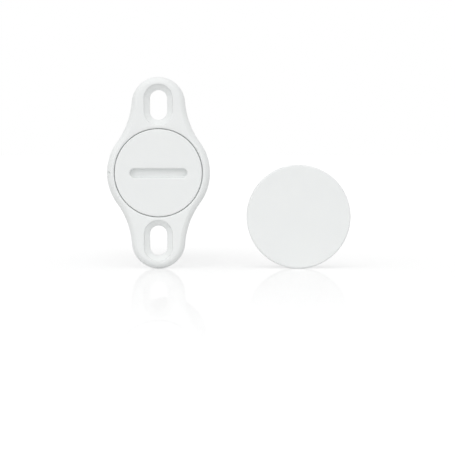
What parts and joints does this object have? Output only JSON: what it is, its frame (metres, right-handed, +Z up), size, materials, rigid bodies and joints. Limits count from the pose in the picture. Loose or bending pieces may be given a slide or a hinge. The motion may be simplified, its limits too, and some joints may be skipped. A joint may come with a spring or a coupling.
{
  "type": "recessed door sensor",
  "caption": "Recessed door sensor: flanged barrel with slotted screw holes and a coin-slot battery cap, with cell and circuit board inside, and a separate round magnet half.",
  "frame": {"origin": "on the sensor barrel's axis at the flange's back face, midway between the two screw slots", "axes": "+Y along the barrel, from the flange into the drilled hole; +Z up, from one screw slot to the other; the front faces look along -Y; the magnet half stands beside the sensor along +X"},
  "size_m": [0.0563, 0.0606, 0.0442],
  "materials": {
    "shell_plastic": "fine satin moulded, pale neutral grey-white",
    "seal_rubber": "smooth black",
    "contact_metal": "nickel plated, stamped",
    "spring_steel": "bright nickel plated wire",
    "cell_steel": "nickel plated, drawn",
    "cell_film": "thin shrink film, plain and unprinted",
    "cell_insulator": "black ring",
    "carrier_plastic": "dark moulded plastic",
    "board_laminate": "green solder mask on glass laminate",
    "switch_case": "black moulded",
    "switch_key": "coloured moulded key",
    "light_lens": "clear moulded lens",
    "reed_glass": "clear green-tinted glass",
    "reed_metal": "plated nickel iron",
    "chip_ceramic": "fired ceramic with tinned ends",
    "shield_metal": "tinned sheet",
    "chip_resin": "black moulding resin",
    "crystal_can": "plated can",
    "capacitor_can": "drawn can",
    "aerial_wire": "copper wire",
    "magnet_plating": "nickel plated"
  },
  "bodies": {
    "sensor": {"flange_barrel": "shell_plastic", "inner_carrier": "carrier_plastic", "circuit_board": "board_laminate", "front_leaf": "contact_metal", "reset_switch_body": "switch_case", "status_light": "light_lens", "reed_glass": "reed_glass", "reed_blades": "reed_metal", "chip_capacitors": "chip_ceramic", "radio_shield": "shield_metal", "microcontroller": "chip_resin", "crystal": "crystal_can", "reservoir_capacitor": "capacitor_can", "helical_aerial": "aerial_wire", "negative_spring": "spring_steel", "rear_contact_plate": "contact_metal", "rear_plug": "shell_plastic"},
    "seal_ring": {"cap_seal": "seal_rubber"},
    "cap": {"battery_cap": "shell_plastic", "cap_contact": "contact_metal"},
    "cell": {"battery_can": "cell_steel", "battery_positive_button": "cell_steel", "battery_top_ring": "cell_insulator", "battery_sleeve": "cell_film"},
    "reset_key": {"reset_plunger": "switch_key"},
    "magnet_half": {"magnet_cup": "shell_plastic", "magnet": "magnet_plating", "magnet_plug": "shell_plastic"}
  },
  "joints": [
    {"name": "cap_lift", "type": "slide", "parent": "sensor", "child": "seal_ring", "axis": [0, -1, 0], "range_m": [0, 0.008]},
    {"name": "cap_turn", "type": "hinge", "parent": "seal_ring", "child": "cap", "pos_m": [0, 0, 0], "axis": [0, -1, 0], "range_deg": [0, 720]},
    {"name": "battery_slide", "type": "slide", "parent": "sensor", "child": "cell", "axis": [0, -1, 0], "range_m": [0, 0.004]},
    {"name": "reset_press", "type": "slide", "parent": "sensor", "child": "reset_key", "axis": [0, 1, 0], "range_m": [0, 0.00025], "stiffness_N_per_m": 2000},
    {"name": "magnet_travel", "type": "slide", "parent": "sensor", "child": "magnet_half", "axis": [1, 0, 0], "range_m": [0, 0.05]}
  ],
  "couplings": [
    {"joint": "cap_turn", "follows": "cap_lift", "rad_per_m": 1570.8},
    {"joint": "battery_slide", "follows": "cap_lift", "ratio": 0.5}
  ]
}
